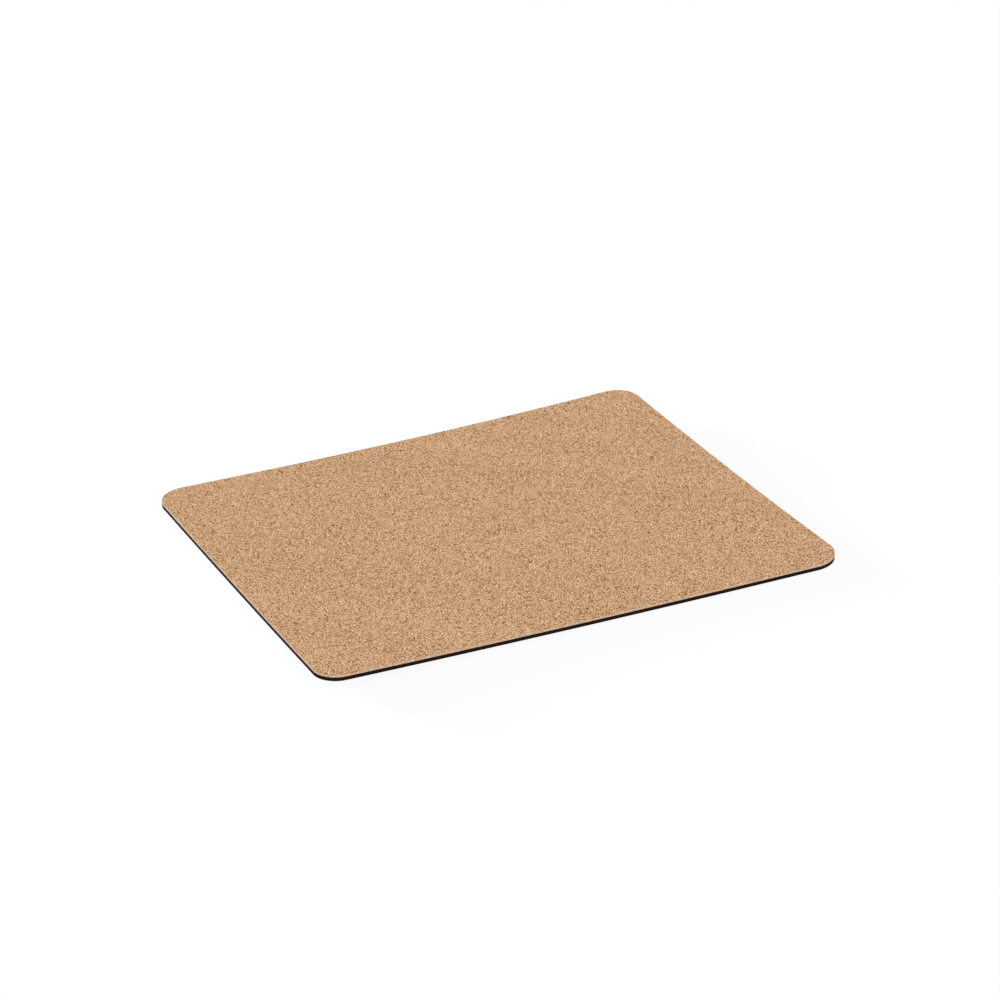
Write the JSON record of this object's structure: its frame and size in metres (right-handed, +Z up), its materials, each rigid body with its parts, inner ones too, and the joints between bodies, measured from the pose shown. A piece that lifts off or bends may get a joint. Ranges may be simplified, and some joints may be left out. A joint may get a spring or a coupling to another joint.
{
  "type": "mouse pad",
  "caption": "Thin rectangular mouse mat with rounded, slightly curled corners: an agglomerated cork top glued to a black foam base.",
  "frame": {"origin": "middle of the underside, on the desk", "axes": "+X to the right along the long side, +Y away from the person at the desk, +Z up off the desk"},
  "size_m": [0.22, 0.18, 0.0068],
  "materials": {
    "foam": "fine-celled black foam rubber, matt and non-slip",
    "glue": "thin film of dried contact glue",
    "cork": "agglomerated fine cork, sanded flat, matt, with small light and dark grains"
  },
  "bodies": {
    "root": {"foam_base": "foam", "adhesive_film": "glue", "cork_sheet": "cork"}
  },
  "joints": []
}
